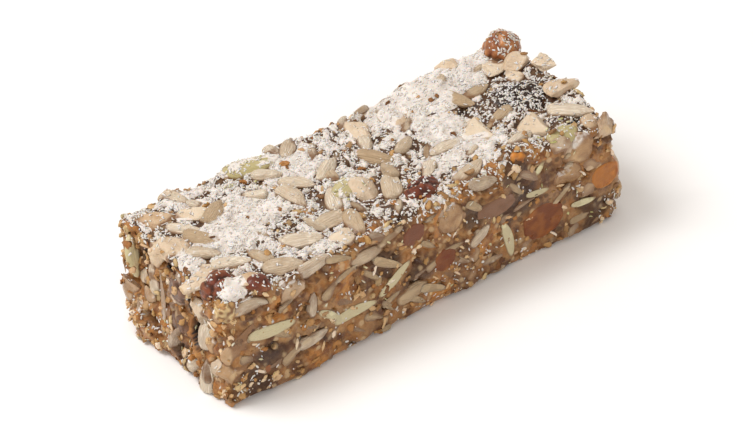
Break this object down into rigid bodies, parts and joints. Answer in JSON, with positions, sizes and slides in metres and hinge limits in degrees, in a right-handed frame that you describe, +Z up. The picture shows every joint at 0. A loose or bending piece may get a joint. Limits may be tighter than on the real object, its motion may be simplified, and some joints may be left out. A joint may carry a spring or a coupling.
{
  "type": "granola bar",
  "caption": "Brick-shaped pressed bar of seeds, nut flakes and dried fruit, with a coconut-dusted rough top, cut sides and broken ends.",
  "frame": {"origin": "centre of the bar's bounding box, on its flat underside", "axes": "+X along the bar's length, +Z up out of the coconut-dusted top, -Y out of the long side that is shown"},
  "size_m": [0.116, 0.047, 0.0341],
  "materials": {
    "slab": "matte seeds and nuts in a tacky brown paste",
    "raisin": "wrinkled, satin",
    "prune": "wrinkled, near black, satin",
    "date": "smooth cut flesh, satin",
    "apricot": "smooth cut flesh, glossy and slightly translucent"
  },
  "bodies": {
    "root": {"seed_slab": "slab", "raisin_near_corner": "raisin", "raisin_near_edge": "raisin", "raisin_back_corner": "raisin", "raisin_top_middle": "raisin", "raisin_side": "raisin", "raisin_side_low": "raisin", "prune_top": "prune", "date_end_low": "date", "date_end_high": "date", "date_side": "date", "apricot_side_large": "apricot", "apricot_side_corner": "apricot", "apricot_side_middle": "apricot", "apricot_side_low": "apricot", "apricot_top_edge": "apricot", "apricot_end_corner": "apricot", "raisin_far_side": "raisin", "date_far_side": "date", "apricot_far_side": "apricot", "raisin_far_end": "raisin", "apricot_far_end": "apricot"}
  },
  "joints": []
}
